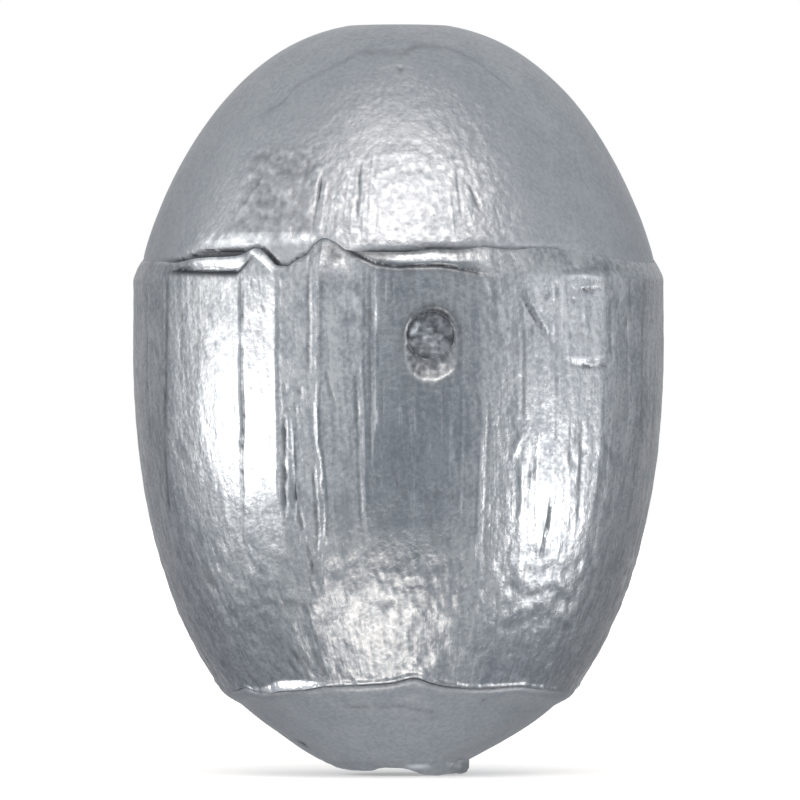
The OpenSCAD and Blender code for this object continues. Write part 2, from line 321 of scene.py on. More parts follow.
dome_marks = by_sector([
    # Cold shut round the crown, where the melt froze last
    around([
        (-48, 7.9), (-39.5, 8.36), (-37.7, 8.76), (-28, 9.27), (-15, 9.75), (0, 9.7),
        (11, 9.93), (25, 9.85), (34, 9.5), (38, 9.1), (44, 8.6),
    ], 160, -12, 25),
    around([(96, 8.9), (130, 9.3), (165, 8.8), (179, 8.9)], 150, -10, 20),
    around([(-170, 9.2), (-140, 8.7), (-118, 9.1)], 150, -10, 20),
    # Pinhole near the crown, and the ripples round it
    dent(0.8, 9.25, 130, 110, -50, 60),
    around([(-9, 9.28), (0, 9.42), (9, 9.26)], 70, 12),
    around([(-12, 8.78), (0, 8.9), (14, 8.7)], 70, 10),
    around([(-16, 8.5), (-4, 8.62), (8, 8.5)], 70, -10),
    # Lap that runs on into the sleeve, and scores beside it
    up([(-19.9, 4.6), (-19.5, 6.35)], 80, -55, 70),
    up([(-18.2, 4.6), (-18, 6.2)], 70, 20),
    up([(-9.6, 4.9), (-9.7, 6.6)], 70, -35, 50),
    up([(-12.6, 4.8), (-12.2, 6.3)], 60, 12),
    up([(-6.9, 5.1), (-6.6, 6.9)], 60, 10),
    up([(14.8, 4.9), (14.6, 6.5)], 60, -18, 30),
    up([(20.9, 5.1), (18.9, 5.45), (17.4, 6.05)], 80, -40, 60),
    # Rippled skin left by a gloved finger
    around([(-6, 6.98), (2, 7.12), (9, 6.95)], 60, -12, 20),
    around([(-7, 6.7), (2, 6.86), (10, 6.66)], 60, 12),
    around([(-6, 6.42), (1, 6.3), (9, 6.45)], 60, -16, 20),
    # Edge of the dome that the hammered lip pushed up, with a painted highlight on one spot
    around([(-60, 4.26), (-46, 4.42), (-36, 4.46), (-28, 4.44), (-18, 4.4)], 170, 45),
    dent(-22.5, 4.5, 200, 180, 40, -50),
    around([(-10, 4.42), (4, 4.46), (16, 4.5), (26, 4.44)], 100, 20),
    # Faint scores that the jaws dragged up from the lip
    up([(-16.4, 4.5), (-16, 5.6)], 50, 14),
    up([(-15, 4.5), (-14.7, 5.2)], 50, -14, 20),
    up([(-11, 4.4), (-10.9, 5.5)], 50, 13),
    up([(-8.2, 4.45), (-8, 5.9)], 45, 12),
    up([(-5.2, 4.4), (-5, 5.4)], 50, -10, 15),
    up([(-2.4, 4.5), (-2.3, 5.1)], 50, 10),
    up([(6.4, 4.5), (6.2, 5.6)], 50, -10, 15),
    up([(12.6, 4.5), (12.2, 6)], 50, 12),
    up([(17.2, 4.6), (16.4, 5.7)], 50, 14),
    up([(24, 4.5), (23.2, 5.6)], 60, -12, 20),
    dent(8.6, 4.95, 100, 80, -30, 40),
    dent(16.4, 4.72, 110, 90, -30, 40),
    dent(22.6, 4.9, 100, 70, -25, 40),
    dent(-3.5, 5.9, 100, 70, -25, 30),
])
# Patches of the dome, by azimuth and by height: from, to, and how softly each starts and ends
dented_az = (-46, -18, 8, 5)
dented_z = (4.4, 7.3, 0.3, 0.5)
ruffled_az = (-30, 34, 12, 10)
ruffled_z = (0, 9.6, 1, 0.8)
glint_z = (0, 7.2, 1, 0.8)
highlight_strip_az = (-54, -18, 6, 3)
highlight_strip_z = (4.26, 4.7, 0.1, 0.12)


def dome_place(az, share):
    """A point of the dome, from its mouth down to its seat."""
    rim_share = ((mouth_r + mouth_round) / dome_r) ** dome_root
    foot_z = upper_lip_z - dome_sink
    rim_z = foot_z + (crown_z - foot_z) * (1 - rim_share) ** (1 / dome_power)
    top_turn = math.asin((rim_z - nose_seat_z) / (crown_z - nose_seat_z))
    z = mix(nose_seat_z, crown_z, math.sin(top_turn * (1 - share) ** foot_crowding))
    r = dome_radius(z)
    over_lip = z - upper_edge_z(az)
    rise, grime_and_painted_light = marked(dome_marks, az, z, r)
    rise += 0.022 * lumps(az, z, r, 2.6) + 0.007 * lumps(az, z, r, 0.7, seed=3)
    dented = within(az, *dented_az) * within(z, *dented_z)
    pits = lumps(az, z, r, 0.34, seed=5)
    fine = lumps(az, z, r, 0.17, seed=6)
    rise += dented * (0.05 * pits + 0.024 * fine)
    grime_and_painted_light += dented * (0.17 - 0.36 * pits - 0.42 * fine)
    ruffled = within(az, *ruffled_az) * within(z, *ruffled_z)
    specks = lumps(az, z, r, 0.17, seed=9)
    rise += ruffled * (0.014 * lumps(az, z, r, 0.3, seed=8) + 0.01 * specks)
    # Painted glints as bright specks over the dome's lower front
    grime_and_painted_light -= 0.7 * ruffled * max(0.0, specks) * within(z, *glint_z)
    # Painted highlight in a strip just above the lip on the left
    highlight_strip = within(az, *highlight_strip_az) * within(z, *highlight_strip_z)
    grime_and_painted_light -= highlight_strip * (0.6 + 0.9 * lumps(az, z, r, 0.22, seed=10))
    # Along the crack the dome is sunk and painted with shade, darker where the crack is wider
    width = crack_width(az)
    closed = ease((1.7 - over_lip / (crack_reach * (0.1 + width))) / 1.1)
    rise *= ease((over_lip + 0.02) / 0.25)
    rise -= crack_depth * width * closed * ease((over_lip + 0.25) / 0.15)
    grime_and_painted_light = mix(max(-1.0, grime_and_painted_light), min(1.0, width), closed)
    return r + rise, z, min(1.0, grime_and_painted_light)


def mouth_place(az, share):
    """A point of the rounded edge of the bore's mouth."""
    turn = share * math.pi / 2
    rim_r, rim_z, grime_and_painted_light = dome_place(az, 0)
    return mix(rim_r, mouth_r, math.sin(turn)), rim_z - mouth_round * (1 - math.cos(turn)), 0.3


nose_rows = [(dome_place, index / dome_rows) for index in range(dome_rows + 1)]
nose_rows += plain_rows(
    (nose_spigot_r, nose_seat_z, 0),
    (nose_spigot_r, spigots_meet_z + spigot_chamfer, 0),
    (nose_spigot_r - spigot_chamfer, spigots_meet_z, 0),
    (tube_hole_r, spigots_meet_z, 0),
    (tube_hole_r, tube_top_z - flare_h, 0),
    (mouth_r, tube_top_z, 0.6),
)
nose_rows += [(mouth_place, share) for share in (1, 0.75, 0.5, 0.25)]
nose_cap = finished("nose_casting", turned_shell(nose_rows, nose_turns))


def join(tree, socket, term):
    """Sets a node's input to a constant, or links it to another node's output."""
    if isinstance(term, bpy.types.Node):
        term = term.outputs[0]
    if isinstance(term, bpy.types.NodeSocket):
        tree.links.new(term, socket)
    else:
        socket.default_value = term


def put(tree, inputs, **terms):
    """Joins each named input to its term."""
    for name, term in terms.items():
        join(tree, inputs[name.replace("_", " ")], term)


def add_node(tree, kind, *terms, **named):
    """A shader node. Its first inputs take the terms, and the rest goes by name."""
    node = tree.nodes.new("ShaderNode" + kind)
    for name, value in named.items():
        if hasattr(node, name):
            setattr(node, name, value)
        else:
            put(tree, node.inputs, **{name: value})
    for socket, term in zip(node.inputs, terms):
        join(tree, socket, term)
    return node


def reckon(tree, operation, *terms):
    """The result of a Math node."""
    return add_node(tree, "Math", *terms, operation=operation)


def blend(tree, share, low, high):
    """The colour at a share of the way between two."""
    node = add_node(tree, "Mix", share, data_type="RGBA")
    join(tree, node.inputs[6], low)
    join(tree, node.inputs[7], high)
    return node.outputs[2]


def new_group(name, inputs, outputs, colours=()):
    """A node group with named sockets, and its two ends."""
    group = bpy.data.node_groups.new(name, "ShaderNodeTree")
    for in_out, names in (("INPUT", inputs), ("OUTPUT", outputs)):
        for socket in names:
            kind = "NodeSocketColor" if socket in colours else "NodeSocketFloat"
            group.interface.new_socket(name=socket, in_out=in_out, socket_type=kind)
    given = group.nodes.new("NodeGroupInput").outputs
    return group, given, group.nodes.new("NodeGroupOutput").inputs


def new_material(name):
    """A material, its node tree and the inputs of its shader."""
    material = bpy.data.materials.new(name)
    material.use_nodes = True
    tree = material.node_tree
    return material, tree, tree.nodes["Principled BSDF"].inputs


# Dark lead for grime and painted shade, and bright lead for worn flecks and painted highlights
dirt_and_shade_lead = (0.025, 0.029, 0.035, 1)
wear_and_highlight_lead = (0.546, 0.58, 0.62, 1)
# The drawn lines lie on an upright wall of this radius, and slant a little
lines_r = 7.5
line_slant = 0.17
pit_stretch = 0.75
# How strongly grain, lines and pits stain the metal, and how a stain shifts its tone
grain_stain = 1.5
line_stain = 120
pit_stain = -40
tone_swing = 1.8
tone_middle = 0.55
# How grime and painted shade cover the metal and dull it, while painted highlights make it shinier,
# and how a light stain shines
dirt_and_shade_cover = 0.85
grime_and_light_dulls = 0.2
stain_dulls = -0.12


def lead_skin_group():
    """Tarnished lead with grain, drawn lines and pits. Grime and painted shade above 0 darken it,
    and painted highlights below 0 lighten it.
    """
    group, given, put_out = new_group(
        "lead skin",
        ("Tone", "Tarnish", "Grime", "Roughness", "Grain", "Lines", "Waves", "Pits"),
        ("Color", "Roughness", "Height"),
        colours=("Tone", "Tarnish", "Color"),
    )
    times = functools.partial(reckon, group, "MULTIPLY")
    times_plus = functools.partial(reckon, group, "MULTIPLY_ADD")
    place = add_node(group, "TexCoord").outputs["Object"]
    in_mm = add_node(group, "VectorMath", place, operation="SCALE", Scale=1 / MM)
    x, y, z = add_node(group, "SeparateXYZ", in_mm).outputs
    level = add_node(group, "CombineXYZ", x, y)
    outward = add_node(group, "VectorMath", level, operation="NORMALIZE")
    wall = add_node(group, "VectorMath", outward, operation="SCALE", Scale=lines_r)
    wall_x, wall_y, wall_z = add_node(group, "SeparateXYZ", wall).outputs
    drawn = add_node(group, "CombineXYZ", wall_x, wall_y, times_plus(z, line_slant, wall_x))
    upright = add_node(group, "CombineXYZ", wall_x, wall_y, times(z, pit_stretch))

    def pattern(vector, scale, detail):
        """Noise centred on 0."""
        texture = add_node(group, "TexNoise", Vector=vector, Scale=scale, Detail=detail)
        return reckon(group, "SUBTRACT", texture.outputs["Fac"], 0.5)

    blotches = pattern(in_mm, 0.9, 5)
    waves = pattern(in_mm, 2.6, 3)
    grain = pattern(in_mm, 8, 3)
    lines = pattern(drawn, 5, 4)
    spots = pattern(upright, 2.9, 2)
    spots = add_node(group, "MapRange", spots, 0.02, 0.3, interpolation_type="SMOOTHSTEP")
    pits = times(spots, given["Pits"])

    stain = times_plus(grain, grain_stain, blotches)
    stain = times_plus(lines, times(given["Lines"], line_stain), stain)
    stain = times_plus(pits, pit_stain, stain)
    tone = times_plus(stain, tone_swing, tone_middle)
    tone = blend(group, tone, given["Tarnish"], given["Tone"])
    # Painted highlights below 0, then grime and painted shade above 0
    tone = blend(group, times(given["Grime"], -1), tone, wear_and_highlight_lead)
    tone = blend(group, times(given["Grime"], dirt_and_shade_cover), tone, dirt_and_shade_lead)
    dull = times_plus(stain, stain_dulls, given["Roughness"])
    dull = times_plus(given["Grime"], grime_and_light_dulls, dull)
    height = times_plus(lines, given["Lines"], times(grain, given["Grain"]))
    height = times_plus(waves, given["Waves"], height)
    height = reckon(group, "SUBTRACT", height, pits)
    put(group, put_out, Color=tone, Roughness=dull, Height=height)
    return group


lead_skin = lead_skin_group()


def lead(name, tone, tarnish, **depths):
    """A lead material, with the depths of its grain, lines, waves and pits in millimetres."""
    material, tree, shader = new_material(name)
    grime_and_painted_light = add_node(tree, "Attribute", attribute_name="grime_and_painted_light").outputs["Fac"]
    skin = add_node(
        tree, "Group", node_tree=lead_skin, Tone=(*tone, 1), Tarnish=(*tarnish, 1), Grime=grime_and_painted_light,
        **depths,
    ).outputs
    bump = add_node(tree, "Bump", Strength=1, Distance=MM, Height=skin["Height"])
    put(
        tree, shader, Metallic=1, Specular_Tint=(0.8, 0.8, 0.8, 1), Base_Color=skin["Color"],
        Roughness=skin["Roughness"], Normal=bump,
    )
    return material


def dress(piece, node, material):
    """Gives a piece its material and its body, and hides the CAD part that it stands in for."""
    piece.data.materials.append(material)
    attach(piece, "root")
    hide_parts(node)


cast_tones = ((0.287, 0.309, 0.337), (0.231, 0.254, 0.283))
dress(nose_cap, "nose_cap", lead(
    "cast lead dome", *cast_tones, Roughness=0.38, Grain=0.015, Waves=0.022, Pits=0.004,
))


# Sleeve: a length of lead extruded as tube, slipped over both spigots and swaged to an egg. The
# jaws left creases, flat plates and drawn lines up the wall, a lap runs up its left front, and
# its two rims were hammered down over the dome and the tail.
sleeve_r = 7.55
sleeve_foot_r = 5.15
widest_z = 1.71
lower_lip_z = -8.09
shoulder_z = 3.36
sleeve_power = 2.27
lower_lip_t = 0.07
seat_gap = 0.03
dome_gap = 0.006
tail_h = 2.15
tail_r = 5.03
collar_r = 2.1
cone_swell = 0.3
tail_seat_z = -7.49
tail_spigot_r = 3.2
peg_az = 7
peg_z = 1.76
peg_r = 0.65
bowl_w = 1.6
bowl_depth = 0.3
punch_slip = 0.5
sleeve_turns = 600

lower_wander = loop(
    0.2, (-140, -0.15), (-100, 0.2), (-76, -0.4), (-66, -0.3), (-58, -0.1), (-52, -0.35),
    (-46, -0.38), (-40, -0.25), (-30, -0.1), (-23, 0.12), (-10, 0.25), (-2, 0.38), (4.7, 0.68),
    (10, 0.36), (15, 0.14), (27, -0.04), (40, 0.05), (55, -0.2), (75, -0.4), (110, 0.1),
    (145, -0.1),
)
# Plates between two creases: where each starts, and how flat the jaws left it
plates = (
    (-172, 0.6), (-153, 0.5), (-131, 0.6), (-112, 0.5), (-90, 0.35), (-61, 0.35), (-36, 0.9),
    (-27, 0.8), (-17.8, 0.5), (-6.4, 0.35), (18, 0.6), (28.4, 0.6), (36, 0.5), (49.7, 0.5),
    (66, 0.5), (88, 0.5), (109, 0.6), (127, 0.5), (149, 0.6), (168, 0.5), (188, 0),
)
# Height of the ledge's lower edge, how deep it is cut and how strongly the cut and a band just
# below it are painted with shade, how far the lip above it is a steep step instead of a bevel, and
# how far that step leans
ledge_z = loop(
    3.6, (-150, 3.5), (-120, 3.7), (-90, 3.6), (-70, 3.66), (-58, 3.6), (-50.7, 3.57),
    (-37.4, 3.54), (-34.5, 3.8), (-32, 4.1), (-14, 4.41), (-11.5, 4.18), (-6.8, 3.87),
    (-4.6, 3.75), (0.3, 3.68), (8, 3.7), (13.8, 3.6), (20, 3.45), (28, 3.42), (37.3, 3.58),
    (47.6, 3.67), (56, 3.6), (75, 3.7), (100, 3.6), (140, 3.5),
)
ledge_cut = loop(
    0.4, (-150, 0.8), (-110, 0.4), (-75, 0.1), (-60, 0.4), (-56, 1.2), (-36, 1.3), (-33.5, 0.5),
    (-31, 0), (-16, 0), (-13, 0.5), (-8, 1.1), (10, 1.1), (17, 0.6), (20, 0.1), (34, 0), (42, 0.3),
    (54, 0.25), (62, 0), (90, 0.1), (120, 0.8), (150, 0.4),
)
stepped = loop(
    0, (-150, 0.5), (-130, 0), (-64, 0), (-57, 1), (-36, 1), (-33.5, 0), (-12, 0), (-7, 1),
    (12, 1), (18, 0.3), (24, 0), (115, 0), (125, 0.7), (140, 0),
)
step_lean = loop(
    0.3, (-64, 0.1), (-54, -0.04), (-38, -0.04), (-32, 0.3), (0, 0.34), (15, 0.4),
)
bevel_straight = loop(
    0.6, (-120, 0.5), (-80, 0.9), (-60, 0.8), (-40, 0.4), (-30, 0.2), (-22, 0.3), (-17, 0.6),
    (-13, 0.6), (-6, 0.5), (0, 0.5), (18, 0.8), (60, 0.9), (100, 0.9), (140, 0.5),
)
lip_t = loop(
    0.08, (-115, 0.08), (-92, 0.02), (-68, 0.018), (-56, 0.12), (-36, 0.12), (-21, 0.1),
    (-17.5, 0.014), (-12, 0.014), (-7, 0.09), (20, 0.09), (34, 0.07), (56, 0.03), (68, 0.018),
    (92, 0.02), (115, 0.09),
)
# Painted highlights on the upper lip's face and on the lower lip's band; where a value is below 0
# it is painted shade instead
painted_highlight_face = curve(
    (-57, -0.2), (-51.5, -0.25), (-49.6, 0.9), (-37.5, 0.9), (-35.5, 0), (-12, 0), (-9, -0.2),
    (-3, -0.3), (-1, 0.2), (1, 0.55), (7, 0.55), (9, 0.15), (14, -0.15), (18, 0),
)
painted_highlight_band = curve(
    (-54, 0), (-47, 0.3), (-44, 0.95), (-27, 0.95), (-23, 0.25), (-8, 0.1), (6, 0), (12, -0.3),
    (34, -0.3), (45, 0),
)
thin_lip = 0.014
ledge_depth = 0.035
ledge_width = 0.1
lip_roll = 0.045
lip_roll_h = 0.14
lip_lean_h = 0.34
# Height of the upright band at the end of the lower lip
lower_band_h = loop(
    0.15, (-120, 0.25), (-80, 0.08), (-60, 0.08), (-53, 0.12), (-48, 0.17), (-43, 0.25),
    (-37, 0.3), (-31, 0.27), (-27, 0.2), (-23, 0.13), (-10, 0.12), (4.7, 0.15), (12, 0.13),
    (30, 0.12), (60, 0.1), (90, 0.1), (130, 0.2),
)
lower_band_w = 0.05
# How open the crack between the tail and the lower lip is, which also sets how dark the painted
# shade along it is
lower_crack = loop(
    0.8, (-110, 0.8), (-90, 0.15), (-56, 0.12), (-42, 0.5), (-34, 0.8), (-20, 0.6), (4.7, 0.6),
    (30, 0.6), (52, 0.3), (62, 0.12), (92, 0.15), (112, 0.8),
)

sleeve_marks = [
    # Edge of the plain facet at the far left
    up([(-59.7, 3.5), (-60.2, 1), (-65.8, -3.4)], 160, -20, 75),
    up([(-72, 3.3), (-72, -1.5)], 160, -20, 25),
    # Groove that splits the left highlight, and the raised edge of the plate beside it
    up([(-35.6, 3.7), (-35.6, -0.3), (-36.4, -1.6)], 100, -45, 40),
    up([(-36.2, -1), (-37, -2.4), (-39.2, -4)], 90, -35, 40),
    up([(-37.4, 3.6), (-37.2, -0.6)], 70, 15),
    up([(-27, 3.6), (-27.2, 0), (-28.4, -3)], 70, 12),
    up([(-26.2, 3.5), (-26.2, 0), (-27.4, -3)], 80, -10, 10),
    # Twin lines low on the left, and pits at their head
    up([(-25.1, -0.4), (-25.5, -1.6), (-26.4, -3.2)], 90, -50, 50),
    up([(-23.2, -0.4), (-23, -2.9), (-23.6, -3.6)], 70, 35),
    up([(-23.9, -2.2), (-22, -3.8), (-20.1, -5.1)], 90, -40, 60),
    up([(-22.9, -3), (-21.5, -4), (-21.4, -5.4)], 70, 20),
    dent(-21.4, 0.2, 100, 160, -50, 50),
    dent(-22.6, -0.28, 90, 120, -50, 50),
    dent(-24.9, 0.3, 90, 120, -30, 40),
    # Lap seam: a ridge with a sunk line at both sides
    up([(-16.9, 4.7), (-17.2, 0.9), (-17.6, 0.6)], 120, 24),
    up([(-19.3, 4.3), (-19.4, 0.6)], 100, -30, 45),
    up([(-17.1, 0.7), (-17.6, -0.9), (-16.7, -1.9), (-16.3, -3.1)], 80, 40),
    up([(-16.9, -2.1), (-16.4, -3.2), (-17.6, -4.4), (-18.3, -5.2)], 80, 35),
    up([(-18.8, -1.8), (-18.6, -3), (-19.6, -4.6)], 90, -40, 40),
    up([(-15.7, 0.9), (-14.6, 0.3), (-13, -0.5)], 80, -30, 40),
    up([(-14.6, -2.6), (-14.7, -4.2)], 80, 18),
    # Drawn lines across the front, some with painted highlights along them
    up([(-7.6, 3.9), (-7.7, 1), (-7.2, -1), (-7.3, -3.6)], 100, 19),
    up([(-8.7, 0), (-8.4, -3.6)], 70, -20, 30),
    up([(-5.9, 3.6), (-6, -1.6)], 70, -16, 40),
    up([(-9, 0.8), (-8.9, -0.9)], 80, -20, 40),
    up([(-4.6, 3.7), (-4.7, -1.1)], 60, 20, -30),
    up([(-3.4, 0.8), (-3.4, -1.2)], 60, -12, 35),
    up([(-2.4, 3.5), (-2.4, 2.4)], 60, 14, -30),
    up([(-1.3, 3.5), (-1.4, 2.5)], 60, -14, 35),
    up([(0.4, -0.2), (0.4, -0.9)], 60, 12, -40),
    up([(1.6, 0), (1.5, -1)], 60, -10, 25),
    up([(-0.3, -1.9), (-0.2, -2.7)], 90, -12, 30),
    up([(8.4, 0.3), (8.4, -0.5)], 60, 12, -40),
    up([(11, -0.4), (11.2, -1.9)], 70, 10, -30),
    dent(11.1, -0.9, 80, 110, 12, -40),
    up([(-11.4, 3.8), (-11.2, 1.2)], 90, 10),
    up([(3.2, 0.4), (3.2, -3.6)], 60, 10),
    up([(9.6, 0.5), (9.7, -1.6)], 60, -15, 30),
    up([(13.6, 1.9), (13.8, -3.4)], 60, 10),
    # Rolled edge of the lip beside the dome's tongue with a painted highlight, and painted shade on
    # the hump beside it
    around([(-36, 4.16), (-33.6, 4.12), (-30.8, 3.94), (-28.2, 3.66), (-26.4, 3.5)], 120, 50, -190),
    dent(-14.9, 4.15, 500, 420, 0, 45),
    dent(-13.4, 3.96, 340, 280, 0, 70),
    # Long bright line right of the middle, a ridge with a painted highlight, and a dark one in it
    up([(18.2, -0.9), (18.2, -2.6), (18.5, -4.2)], 65, 4, -40),
    up([(19.5, 0.2), (19.6, -2), (20, -4.4)], 70, -8, 30),
    up([(17.3, -2), (17.4, -2.9), (17.6, -4.2)], 60, -8, 30),
    # Creases in the right highlight, with painted highlights along some of them and on broad
    # patches
    up([(27.7, -0.95), (26.2, -1.4), (24.6, -1.8)], 100, 45, -70),
    up([(27.6, -1.6), (28, -2.3), (28.6, -3), (27.6, -3.4)], 110, 35, -60),
    up([(29.6, -1.6), (29.7, -2.6), (30.4, -3.6)], 50, -22, 50),
    up([(31.7, -0.6), (31.8, -1.8), (34.8, -4.6)], 120, 20, -40),
    dent(38.6, -3.2, 600, 1100, 0, -35),
    dent(32.4, -3.4, 400, 1200, 0, -30),
    dent(44.5, -3.6, 400, 1000, 0, -30),
    up([(41.2, -3.9), (40, -4.5)], 90, 20, -50),
    up([(36, -2.6), (36.2, -3.2), (35.5, -4.6)], 80, -45, 60),
    up([(39.4, -0.1), (39.6, -1.4), (41, -2.4)], 100, 35),
    up([(35.8, 3.4), (35.9, 0.9), (36.6, -1.4)], 70, -20, 30),
    up([(27.2, 2.2), (27.3, -0.6)], 90, -15, 20),
    # Slanting score and the flat that a jaw pressed beside it, with painted highlights on its edges
    # and spots
    up([(25.4, 3.15), (29.9, 2.3), (35.2, 1.38)], 80, -45, 50),
    up([(27.5, 3.1), (32, 2.2), (35.2, 1.7)], 90, 20),
    around([(38.5, 0.97), (46, 0.9), (53, 0.98)], 90, -30, 45),
    around([(36.2, 1.2), (44, 1.14), (52, 1.22)], 80, 14, -40),
    around([(37, 3.1), (42, 3.04), (50, 3.12)], 80, -30, 50),
    around([(36.5, 3.4), (43, 3.46), (51, 3.36)], 100, 20, -45),
    up([(37.1, 3.3), (37.2, 1.3)], 80, 12, -35),
    up([(34.4, 3.4), (34.9, 2.6)], 70, 16, -50),
    dent(34.9, 1.95, 90, 240, 20, -100),
    dent(31.6, 2.55, 120, 100, 20, -60),
    dent(33.2, 2.9, 80, 120, -30, 50),
    dent(30.4, 3.05, 140, 100, 16, -50),
    dent(43.6, 2.3, 100, 120, 16, -60),
    dent(40.4, 2.75, 120, 140, -20, 35),
    dent(29.4, 1.95, 120, 340, -20, 40),
    dent(27.6, 2.3, 70, 500, 12, -40),
    up([(51.8, 3.2), (52.6, 1)], 120, -15, 15),
    up([(58, 3), (60, -1.2)], 140, -20, 15),
    up([(43.6, -0.4), (45.5, -3.4)], 140, -20, 20),
    # Wrinkles where the wall was drawn in above the tail
    around([(-60, -6.45), (-46, -6), (-35, -5.78), (-14, -5.66)], 140, -20, 25),
    around([(-58, -6.15), (-44, -5.75), (-30, -5.5)], 120, 15),
    around([(-8, -5.6), (2, -5.72), (12, -5.5)], 90, -20, 25),
    around([(-9, -5.35), (0, -5.42), (9, -5.2)], 90, 20),
    around([(-4, -5.05), (2, -5.12), (9, -4.95)], 80, -14, 20),
    around([(30, -6.5), (37, -6.1), (42, -5.7)], 120, -30, 35),
    around([(28, -6.1), (36, -5.7), (43, -5.4)], 110, 25),
    dent(-54, -5.2, 250, 200, -40, 40),
    dent(-50, -5.6, 200, 160, 30),
    dent(-59, -4.4, 160, 200, -30, 40),
    dent(4, -6.95, 300, 100, -25, 30),
    dent(5, -7.35, 160, 140, 30),
    dent(41, -6.6, 160, 120, -30, 40),
]
# Left edge of the painted highlight on the left front, by height, and its top edge, by azimuth
painted_highlight_from = curve(
    (-3, -42), (-2.6, -43.5), (-1.6, -47), (-0.4, -49.6), (1.3, -48.2), (2.4, -45),
)
painted_highlight_to = curve((-50, 1.3), (-45, 2.1), (-38, 3.3), (-33, 2.5), (-28, 3.5))
# Creases of the sides and the back: azimuth, lowest and highest place, and rise
side_creases = (
    (-172, -3, 3.3, -45), (-153, -5, 3.5, -70), (-149, -4, 1.8, 30),
    (-131, -2.5, 2.2, -30), (-112, -4.6, 3.6, -60), (-108.5, -3.2, 2.9, 25),
    (-90, -2.4, 3.2, -40), (66, -2.6, 3.3, -40), (69, -1.4, 2.8, 20),
    (88, -5.2, 3.5, -55), (109, -2, 2, -30), (127, -4, 3.6, -70), (130.5, -3.4, 2.5, 30),
    (149, -3.6, 3.2, -40), (168, -5, 3.6, -50), (171.5, -3, 3, 20),
)
for az, low, high, rise in side_creases:
    foot_az = az + 2.5 * math.sin(az)
    sleeve_marks.append(up([(foot_az, low), (az, high)], 140, rise, max(0, -0.8 * rise)))
sleeve_marks = by_sector(sleeve_marks)


@functools.cache
def lower_edge_z(az):
    return lower_lip_z + lip_wander * lower_wander(az)


def barrel_radius(z):
    """Radius of the plain egg before the jaws marked it."""
    share = 1 - (sleeve_foot_r / sleeve_r) ** 2
    reach = (widest_z - lower_lip_z) / share ** (1 / sleeve_power)
    return sleeve_r * math.sqrt(1 - (max(0.0, widest_z - z) / reach) ** sleeve_power)


def cone_radius(z):
    share = (lower_lip_z - z) / tail_h
    return mix(tail_r, collar_r, share) + cone_swell * 4 * share * (1 - share)


def tail_wall_r(az, z):
    """Radius of the tail: its cone, kept inside the sleeve's wall at the lip."""
    edge_z = lower_edge_z(az)
    edge_r = barrel_radius(edge_z + lower_band_h(az)) - 0.75 * lower_band_w - lower_lip_t
    edge_r = max(edge_r, cone_radius(edge_z) - 0.04)
    if z > edge_z:
        return mix(edge_r, min(edge_r, tail_r), ease((z - edge_z) / 0.25))
    return mix(cone_radius(z), edge_r, ease(1 - (edge_z - z) / 0.5))


@functools.cache
def plate_of(az):
    """The plate at an azimuth: how far its middle is, half its width, and its flatness."""
    place = az if az >= plates[0][0] else az + 360
    for (start, flatness), (end, next_flatness) in zip(plates, plates[1:]):
        if start <= place < end:
            return math.radians(place - (start + end) / 2), math.radians(end - start) / 2, flatness


def plate_sink(az, z):
    """How far a plate's flat lies below the round wall."""
    turn, half, flatness = plate_of(az)
    fade = within(z, -6.1, upper_lip_z, 4, 0.85)
    return flatness * sleeve_r * (1 - math.cos(half) / math.cos(turn)) * fade


def bowl(across, above):
    """Depth, roughness and darkness of the bowl, which the punch drew down as it struck."""
    slid = max(0.0, min(punch_slip, -above))
    foot = slid / punch_slip
    away = math.hypot(across, above + slid)
    away += 0.05 * noise.noise(Vector((1.6 * across, 1.6 * above, 7.3)))
    punch_r = (bowl_w ** 2 / 4 + bowl_depth ** 2) / (2 * bowl_depth)
    depth = math.sqrt(max(0.0, punch_r ** 2 - away ** 2)) - (punch_r - bowl_depth)
    sunk = bowl_depth * ease(1.1 * depth / bowl_depth) * (1 - 0.35 * foot)
    spot = Vector((across, above, 4.3))
    pitted = noise.noise(spot / 0.24) + 0.6 * noise.noise(spot / 0.11)
    lip = math.exp(-((away - bowl_w / 2 - 0.05) / 0.12) ** 2)
    wall = math.exp(-((away - bowl_w / 2 + 0.08) / 0.13) ** 2)
    scraped = foot * ease((across + 0.5) / 0.6)
    struck = ease((1.05 - math.hypot(across / 0.67, above / 0.86)) / 0.14)
    # The darkness is painted shade: mottled inside the bowl, on its wall and rim, in its drawn-down
    # foot and on the struck face of the peg
    dark = max(0.0, 0.36 - 0.6 * pitted) * ease(sunk / 0.12) * (1 - 0.6 * scraped)
    dark += 0.2 * struck + 0.3 * foot * ease(sunk / 0.08)
    dark += 0.36 * wall * (1 - 0.7 * foot) + 0.25 * lip * (1 - 0.5 * foot)
    return sunk - 0.002 * lip, 0.03 * pitted, dark


# Unevenness of the wall: height, height low on the wall, and the lumps' size, stretch and seed.
# Stretched lumps run straight up, and round ones follow the swell of the wall.
wall_layers = (
    (0.014, 0.014, 1.5, 1.6, 11), (0.005, 0.0015, 0.3, 6, 14), (0.003, 0.0012, 0.13, 5, 17),
    (0.007, 0.033, 0.42, 1, 21),
)


